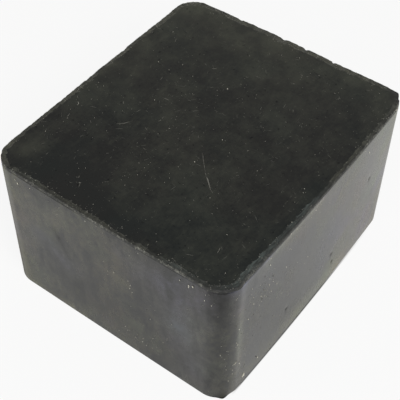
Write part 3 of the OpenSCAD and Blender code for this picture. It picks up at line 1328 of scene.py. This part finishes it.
    def masks(
        self, section: list[SkinRow], rim: dict[str, np.ndarray], points: np.ndarray
    ) -> dict[str, np.ndarray]:
        """Works out every mask of the skin, one value for each point.

        Args:
            section: All rows of the mesh.
            rim: The rim's sizes at every column.
            points: The mesh's points in millimetres.

        Returns:
            The masks by their name.
        """
        columns = len(rim["crest"])
        zone = np.repeat([int(row.zone) for row in section], columns)

        def spread(name: str) -> np.ndarray:
            """Gives a row mask scaled by the rim's own value at each column."""
            return np.concatenate([getattr(row, name) * rim[name] for row in section])

        def painted(patches: tuple[Patch, ...]) -> np.ndarray:
            """Adds up what the patches lay on each point."""
            return sum(patch.weight(points) for patch in patches)

        # pits are painted darker inside: painted shade in the hollows
        pits = tuple(
            Patch(pit.place_mm, pit.place_mm, pit.radius_mm, self.pit_shade) for pit in self.PITS
        )
        dusty = np.repeat([self.ZONE_DUST[row.zone] for row in section], columns) + painted(self.DUSTY)
        return {
            "tear": np.repeat([row.tear for row in section], columns),
            "crest": spread("crest"),
            "shade": spread("shade"),
            "matt": np.clip(painted(self.MATTS), 0, 1),
            # grime and painted shade: the rim's rows, the foot, the stains and shaded places, and the pits
            "grime": np.clip(spread("grime") + painted(self.STAINS_AND_SHADE + pits), 0, 1),
            "crumbs": spread("crumbs"),
            "flecks": np.where(zone == Zone.MOULDED, painted(self.FLECKED), 0.0),
            "bloom": np.clip(painted(self.BLOOMS_AND_HIGHLIGHTS), 0, 1),
            "film": np.clip(painted(self.FILMS), -1, 1),
            "cool": np.clip(painted(self.COOLS), -1, 1),
            "dusty": np.where(points[:, 2] < self.clean_foot, 0.0, dusty),
            "lint": np.where(zone == Zone.TOP, 1.0 + painted(self.DUSTY), 0.0),
        }

    def weathering_tree(self, values: dict[str, Any]) -> bpy.types.NodeTree:
        """Builds the tree that ripples the skin, tears the cut band and keeps to the box.

        Args:
            values: The tree's named inputs.

        Returns:
            The geometry tree.
        """
        tree, add, given = start_tree("weathered_skin", values)
        place = add("GeometryNodeInputPosition")
        normal = add("GeometryNodeInputNormal")
        noises = []
        for label, detail, output in (("Ripple", 1.0, "Fac"), ("Tear", 2.0, "Color")):
            scale = add("ShaderNodeMath", 1.0, given[f"{label} Size"], operation="DIVIDE")
            noise = {"Vector": place, "W": given["Seed"], "Scale": scale, "Detail": detail}
            noises.append(add("ShaderNodeTexNoise", named=noise, output=output, noise_dimensions="4D"))
        ripple, tear = noises

        sunk = add("ShaderNodeMath", ripple, self.ripple_level, operation="SUBTRACT")
        depth = add("ShaderNodeMath", sunk, given["Ripple Depth"], operation="MULTIPLY")
        push = add("ShaderNodeVectorMath", normal, depth, operation="SCALE")
        rippled = add("GeometryNodeSetPosition", given["Geometry"], named={"Offset": push})

        centred = add("ShaderNodeVectorMath", tear, self.tear_level, operation="SUBTRACT")
        amount = add("GeometryNodeInputNamedAttribute", "tear", data_type="FLOAT")
        reach = add("ShaderNodeMath", amount, given["Tear Depth"], operation="MULTIPLY")
        pull = add("ShaderNodeVectorMath", centred, reach, operation="SCALE")
        torn = add("GeometryNodeSetPosition", rippled, named={"Offset": pull})

        shown = keep_inside(add, torn, given)
        zone = add("GeometryNodeInputNamedAttribute", "zone", data_type="INT")
        for member in Zone:
            chosen = add("FunctionNodeCompare", zone, int(member), data_type="INT", operation="EQUAL")
            shown = add("GeometryNodeSetMaterial", shown, chosen, given[member.name])
        return end_tree(tree, shown)

    def build(self, zones: dict[Zone, bpy.types.Material]) -> bpy.types.Object:
        """Builds and dresses the moulding, and lets it stand for the CAD solid.

        Args:
            zones: The material of each zone.

        Returns:
            The finished piece.
        """
        margin = Vector((self.skin_clearance,) * 3) * MM * 0.5
        values = {
            "Ripple Size": self.ripple_mm * MM,
            "Ripple Depth": self.ripple_depth_mm * MM,
            "Tear Size": self.tear_mm * MM,
            "Tear Depth": self.tear_depth_mm * MM,
            "Seed": self.seed,
            "Low Corner": self.low + Vector((margin.x, margin.y, 0.0)),
            "High Corner": self.high - margin,
            **{zone.name: zones[zone] for zone in Zone},
        }
        piece = run_tree(self.cage(zones), self.weathering_tree(values), values, "block_skin")
        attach(piece, BODY)
        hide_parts(CAD_NODE)
        return piece


# ------------------------------------------------------------ what lies on it


@dataclass(frozen=True)
class Speck:
    """One speck that is placed as given, with its radius in millimetres and its tone."""

    place_mm: Point
    radius: float
    tone: float


PLACED_SPECKS = (
    Speck((-3.7, 14.0, 44.4), 0.24, 0.9),
    Speck((5.0, -11.8, 44.4), 0.22, 0.8),
    Speck((-24.3, 11.7, 44.4), 0.20, 0.6),
    Speck((6.0, -1.8, 44.4), 0.20, 0.6),
    Speck((-16.0, -0.5, 44.4), 0.20, 0.5),
    Speck((30.5, -3.4, 44.4), 0.22, 0.45),
    Speck((30.9, -4.6, 44.4), 0.18, 0.3),
    Speck((4.4, 35.4, 44.4), 0.20, 0.4),
    Speck((25.4, -39.9, 41.8), 0.28, 1.0),
    Speck((24.3, -39.9, 41.3), 0.24, 0.9),
    Speck((21.9, -39.9, 41.4), 0.20, 0.7),
    Speck((30.2, -39.5, 38.5), 0.20, 0.6),
    Speck((-26.5, -39.8, 40.6), 0.28, 0.9),
    Speck((-27.2, -39.8, 41.4), 0.20, 0.7),
    Speck((2.4, -40.0, 28.8), 0.22, 0.9),
    Speck((7.1, -40.0, 26.3), 0.18, 0.8),
    Speck((7.8, -40.0, 6.2), 0.18, 0.8),
    Speck((11.3, -40.0, 5.8), 0.14, 0.7),
    Speck((19.4, -40.0, 22.3), 0.16, 0.7),
    Speck((35.0, -34.0, 12.6), 0.24, 1.0),
    Speck((35.0, -25.5, 4.4), 0.28, 1.0),
    Speck((35.0, -35.1, 28.3), 0.20, 0.8),
    Speck((34.8, -23.6, 39.9), 0.20, 0.9),
    Speck((34.8, -23.1, 32.0), 0.18, 0.9),
    Speck((34.9, -16.1, 31.4), 0.18, 0.9),
    Speck((34.8, 20.7, 39.4), 0.22, 1.0),
)


@dataclass
class Dust:
    """Loose bits scattered over the skin by one of its masks, with some placed one by one.

    Most bits are dim. Raising a random share to the power `rarity` leaves few pale ones.
    They lie in loose drifts, and each has a girth, a turn and a stretch of its own.
    """

    name: str
    mask: str
    per_square_mm: float
    radius_mm: float
    rarity: float
    brightest: float
    seed: int
    specks: tuple[Speck, ...] = ()
    least_stretch: Point = (0.6, 0.6, 0.4)
    most_stretch: Point = (1.5, 1.2, 0.9)
    most_turn: Point = (math.tau, math.tau, math.tau)
    drift: Pattern = Pattern(7.0, 3.0, 0.7)
    drift_span: Span = (0.42, 0.66)
    drift_breaks: Span = (0.35, 2.6)
    girth: Span = (0.45, 1.35)
    girth_seed: int = 5
    turn_seed: int = 8
    stretch_seed: int = 9

    def tree(self, values: dict[str, Any]) -> bpy.types.NodeTree:
        """Builds the tree that scatters specks over a skin and on loose points.

        Args:
            values: The tree's named inputs.

        Returns:
            The geometry tree.
        """
        tree, add, given = start_tree(f"{self.name}_scatter", values)
        skin, seed = given["Geometry"], given["Seed"]
        dusty = add("GeometryNodeInputNamedAttribute", given["Mask"], data_type="FLOAT")
        place = add("GeometryNodeInputPosition")
        drift = add("ShaderNodeTexNoise", named=self.drift.inputs(place))
        drift = add("ShaderNodeMapRange", drift, *self.drift_span, *self.drift_breaks)
        density = add("ShaderNodeMath", dusty, given["Density"], operation="MULTIPLY")
        density = add("ShaderNodeMath", density, drift, operation="MULTIPLY")
        scattered = add(
            "GeometryNodeDistributePointsOnFaces",
            skin,
            named={"Density": density, "Seed": seed},
            distribute_method="RANDOM",
        )
        chance = add("FunctionNodeRandomValue", named={"Seed": seed}, data_type="FLOAT")
        rare = add("ShaderNodeMath", chance, given["Rarity"], operation="POWER")
        tone = add("ShaderNodeMath", rare, given["Brightest"], operation="MULTIPLY")
        girth = add(
            "FunctionNodeRandomValue", *self.girth, named={"Seed": self.girth_seed}, data_type="FLOAT"
        )
        for name, value in (("tone", tone), ("girth", girth)):
            scattered = add(
                "GeometryNodeStoreNamedAttribute",
                scattered,
                named={"Name": name, "Value": value},
                data_type="FLOAT",
                domain="POINT",
            )
        placed = add("GeometryNodeInputNamedAttribute", "placed", data_type="BOOLEAN")
        loose = add("GeometryNodeMeshToPoints", skin, placed, mode="VERTICES")
        both = add("GeometryNodeJoinGeometry", loose)
        tree.links.new(scattered, both.node.inputs[0])

        speck = add("GeometryNodeMeshIcoSphere", given["Radius"], 1)
        turn, stretch = (
            add("FunctionNodeRandomValue", least, most, named={"Seed": own}, data_type="FLOAT_VECTOR")
            for least, most, own in (
                ((0.0, 0.0, 0.0), given["Most Turn"], self.turn_seed),
                (given["Least Stretch"], given["Most Stretch"], self.stretch_seed),
            )
        )
        width = add("GeometryNodeInputNamedAttribute", "girth", data_type="FLOAT")
        size = add("ShaderNodeVectorMath", stretch, width, operation="SCALE")
        laid = {"Instance": speck, "Rotation": turn, "Scale": size}
        laid = add("GeometryNodeInstanceOnPoints", both, named=laid)
        kept = keep_inside(add, laid, given)
        done = add("GeometryNodeSetMaterial", kept, named={"Material": given["Material"]})
        return end_tree(tree, done)

    def build(
        self, skin: bpy.types.Object, material: bpy.types.Material, box: tuple[Vector, Vector]
    ) -> bpy.types.Object:
        """Scatters the dust over a finished skin.

        Args:
            skin: The piece that the dust lies on.
            material: The dust's material.
            box: Low and high corners that nothing may pass.

        Returns:
            The finished piece.
        """
        mesh = skin.data.copy()
        grown = len(mesh.vertices)
        mesh.vertices.add(len(self.specks))
        for speck, vertex in zip(self.specks, mesh.vertices[grown:]):
            vertex.co = Vector(speck.place_mm) * MM
        empty = [0.0] * grown
        add_values(mesh, "tone", "FLOAT", empty + [speck.tone for speck in self.specks])
        girths = [speck.radius / self.radius_mm for speck in self.specks]
        add_values(mesh, "girth", "FLOAT", empty + girths)
        add_values(mesh, "placed", "BOOLEAN", [False] * grown + [True] * len(self.specks))
        values = {
            "Mask": self.mask,
            "Rarity": self.rarity,
            "Brightest": self.brightest,
            "Density": self.per_square_mm / MM**2,
            "Radius": self.radius_mm * MM,
            "Seed": self.seed,
            "Least Stretch": self.least_stretch,
            "Most Stretch": self.most_stretch,
            "Most Turn": self.most_turn,
            "Low Corner": box[0],
            "High Corner": box[1],
            "Material": material,
        }
        piece = run_tree(add_object(f"{self.name}_holder", mesh), self.tree(values), values, self.name)
        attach(piece, BODY)
        return piece


LOOSE_BITS = (
    Dust("dust", "dusty", 0.24, 0.08, 5.0, 0.8, 21, PLACED_SPECKS),
    Dust("crumbs", "crumbs", 1.0, 0.11, 1.8, 0.40, 22),
    Dust("flecks", "flecks", 0.18, 0.125, 1.2, 0.95, 24),
    Dust(
        "lint", "lint", 0.04, 0.055, 1.5, 0.22, 23,
        least_stretch=(3.0, 0.6, 0.4), most_stretch=(16.0, 1.0, 0.6), most_turn=(0.0, 0.0, math.tau),
    ),
)


@dataclass(frozen=True)
class Scratch:
    """A pale scratch through the points given, with its half width and its tone."""

    points_mm: tuple[Point, ...]
    half_width_mm: float
    tone: float


SCRATCHES = (
    Scratch(((4.6, -8.2, 44.4), (7.0, -10.8, 44.4), (9.0, -13.0, 44.4)), 0.10, 0.10),
    Scratch(((9.0, -13.1, 44.4), (11.2, -14.9, 44.4), (13.0, -16.5, 44.4), (14.4, -17.3, 44.4)), 0.15, 0.13),
    Scratch(((-31.1, -12.5, 44.4), (-30.4, -13.0, 44.4), (-30.3, -13.7, 44.4)), 0.10, 0.30),
    Scratch(((-15.5, -9.5, 44.4), (-17.0, -12.0, 44.4), (-18.5, -13.0, 44.4)), 0.07, 0.10),
    Scratch(((34.3, 34.6, 44.3), (34.6, 33.6, 44.2), (34.4, 32.2, 44.3)), 0.16, 0.40),
    Scratch(((34.2, -36.0, 13.2), (34.4, -35.2, 13.3), (34.5, -34.4, 13.7)), 0.20, 0.55),
    Scratch(((34.6, -31.5, 2.5), (34.6, -30.8, 3.8)), 0.26, 0.9),
)


@dataclass
class Scratches:
    """Scratches and scuffs: thin raised burrs that follow a drawn path and taper out."""

    name: str = "scratches"
    wander_mm: float = 0.25
    shake: Pattern = Pattern(1.2, 3.0)
    break_span: Span = (0.35, 0.6)
    breaks: Span = (0.3, 1.2)
    taper: float = 0.6
    path_points: int = 40
    sides: int = 6
    edge_gap_mm: float = 0.03
    seed: int = 31

    def tree(self, values: dict[str, Any]) -> bpy.types.NodeTree:
        """Builds the tree that turns drawn paths into thin tapered burrs.

        Args:
            values: The tree's named inputs.

        Returns:
            The geometry tree.
        """
        tree, add, given = start_tree("scratch_burrs", values)
        path = add("GeometryNodeMeshToCurve", given["Geometry"])
        smooth = add("GeometryNodeCurveSplineType", path, spline_type="CATMULL_ROM")
        even = add("GeometryNodeResampleCurve", smooth, named={"Count": self.path_points})
        place = add("GeometryNodeInputPosition")
        noise_inputs = self.shake.inputs(place) | {"W": given["Seed"]}
        noise = add("ShaderNodeTexNoise", named=noise_inputs, noise_dimensions="4D")
        middle = (NOISE_MIDDLE, NOISE_MIDDLE, NOISE_MIDDLE)
        way = noise.node.outputs["Color"]
        shake = add("ShaderNodeVectorMath", way, middle, operation="SUBTRACT")
        push = add("ShaderNodeVectorMath", shake, given["Wander"], operation="SCALE")
        drawn = add("GeometryNodeSetPosition", even, named={"Offset": push})

        # widest in the middle and broken up by the same noise
        along = add("GeometryNodeSplineParameter")
        turn = add("ShaderNodeMath", along, math.pi, operation="MULTIPLY")
        swell = add("ShaderNodeMath", turn, operation="SINE")
        radius = add("ShaderNodeMath", swell, self.taper, operation="POWER")
        width = add("GeometryNodeInputNamedAttribute", "half_width", data_type="FLOAT")
        broken = add("ShaderNodeMapRange", noise, *self.break_span, *self.breaks)
        for factor in (width, broken):
            radius = add("ShaderNodeMath", radius, factor, operation="MULTIPLY")
        profile = {"Resolution": self.sides, "Radius": 1.0}
        profile = add("GeometryNodeCurvePrimitiveCircle", named=profile)
        swept = add("GeometryNodeCurveToMesh", drawn, profile, radius, True)
        kept = keep_inside(add, swept, given)
        done = add("GeometryNodeSetMaterial", kept, named={"Material": given["Material"]})
        return end_tree(tree, done)

    def build(self, material: bpy.types.Material, box: tuple[Vector, Vector]) -> bpy.types.Object:
        """Builds every scratch of the list as one piece.

        Args:
            material: The material of the burrs.
            box: Low and high corners of the block, which no burr comes near.

        Returns:
            The finished piece.
        """
        points, edges, widths, tones = [], [], [], []
        for scratch in SCRATCHES:
            for i, point in enumerate(scratch.points_mm):
                if i:
                    edges.append((len(points) - 1, len(points)))
                points.append(Vector(point) * MM)
                widths.append(scratch.half_width_mm * MM)
                tones.append(scratch.tone)
        mesh = bpy.data.meshes.new("scratch_paths")
        mesh.from_pydata(points, edges, [])
        add_values(mesh, "half_width", "FLOAT", widths)
        add_values(mesh, "tone", "FLOAT", tones)
        gap = Vector((self.edge_gap_mm,) * 3) * MM
        values = {
            "Wander": self.wander_mm * MM,
            "Seed": self.seed,
            "Low Corner": box[0] + gap,
            "High Corner": box[1] - gap,
            "Material": material,
        }
        piece = run_tree(add_object("scratch_paths", mesh), self.tree(values), values, self.name)
        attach(piece, BODY)
        return piece


# ---------------------------------------------------------------- the studio


@dataclass
class Studio:
    """A pale floor, a soft tent of light that is brightest near the horizon, and a key."""

    floor_size: float = 4.0
    horizon: float = 0.7
    zenith: float = 0.0
    fade_span: Span = (0.3, 0.85)
    key_power: float = 13.0
    key_size: float = 0.8
    key_place: Point = (0.6, -0.55, 1.0)

    def build(self, half_x: float, half_y: float) -> None:
        """Builds the floor, the world and the lamp.

        Args:
            half_x: Half the width of what stands on the floor, in metres.
            half_y: Half its depth, in metres.
        """
        bpy.ops.mesh.primitive_plane_add(size=self.floor_size)
        floor = bpy.context.object
        floor.name = "floor"
        floor.data.materials.append(PaleFloor().build(half_x, half_y))

        world = bpy.data.worlds.new("tent")
        bpy.context.scene.world = world
        world.use_nodes = True
        tree = world.node_tree
        sky = tree.nodes["Background"]
        add = partial(add_node, tree)
        way = add("ShaderNodeTexCoord", output="Generated")
        rise = add("ShaderNodeSeparateXYZ", way, output="Z")
        level = add("ShaderNodeMapRange", rise, *self.fade_span, self.horizon, self.zenith)
        feed(tree, sky.inputs["Color"], WHITE)
        feed(tree, sky.inputs["Strength"], level)

        lamp = bpy.data.lights.new("key", "AREA")
        lamp.energy = self.key_power
        lamp.size = self.key_size
        key = bpy.data.objects.new("key", lamp)
        key.location = self.key_place
        key.rotation_mode = "QUATERNION"
        key.rotation_quaternion = Vector(self.key_place).to_track_quat("Z", "Y")
        bpy.context.scene.collection.objects.link(key)


@dataclass
class ViewCamera:
    """A long lens that looks down on the near corner of the block."""

    azimuth: float = 35.806
    elevation: float = 48.523
    roll: float = 0.838
    distance_mm: float = 248.557
    slide_mm: float = -1.49
    lift_mm: float = -3.68
    lens_mm: float = 84.85
    sensor_mm: float = 36.0
    clip: Span = (0.01, 20.0)

    def build(self, centre: Vector) -> bpy.types.Object:
        """Places the camera round the middle of the block.

        Args:
            centre: Middle of the block's box, in metres.

        Returns:
            The camera, set as the scene's own.
        """
        a, e, r = (math.radians(v) for v in (self.azimuth, self.elevation, self.roll))
        back = Vector((math.sin(a) * math.cos(e), -math.cos(a) * math.cos(e), math.sin(e)))
        level = Vector((math.cos(a), math.sin(a), 0.0))
        upright = back.cross(level)
        right = level * math.cos(r) + upright * math.sin(r)
        up = upright * math.cos(r) - level * math.sin(r)
        data = bpy.data.cameras.new("view")
        data.sensor_width = self.sensor_mm
        data.lens = self.lens_mm
        data.clip_start, data.clip_end = self.clip
        camera = bpy.data.objects.new("view", data)
        place = centre + (back * self.distance_mm + right * self.slide_mm + up * self.lift_mm) * MM
        turned = Matrix((right, up, back)).transposed()
        camera.matrix_world = Matrix.Translation(place) @ turned.to_4x4()
        bpy.context.scene.collection.objects.link(camera)
        bpy.context.scene.camera = camera
        return camera


def report(piece: bpy.types.Object) -> None:
    """Notes a finished piece in the log."""
    LOG.info("%s: %d faces", piece.name, len(piece.data.polygons))


def main() -> None:
    """Builds the scene piece by piece and notes each finished piece's size in the log."""
    logging.basicConfig(level=logging.INFO, format="%(name)s: %(message)s")
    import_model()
    low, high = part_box(CAD_NODE)

    finishes = {
        Zone.MOULDED: MouldedRubber().build(),
        Zone.CUT: KnifeCutRubber().build(),
        Zone.TOP: RubbedTop().build(),
    }
    skin = RubberBlock(low, high).build(finishes)
    report(skin)
    grit = WorkshopDust().build()
    for bits in LOOSE_BITS:
        report(bits.build(skin, grit, (low, high)))
    report(Scratches().build(grit, (low, high)))

    Studio().build(high.x, high.y)
    ViewCamera().build((low + high) / 2)
    bpy.context.scene.view_settings.view_transform = "Standard"


if __name__ == "__main__":
    main()
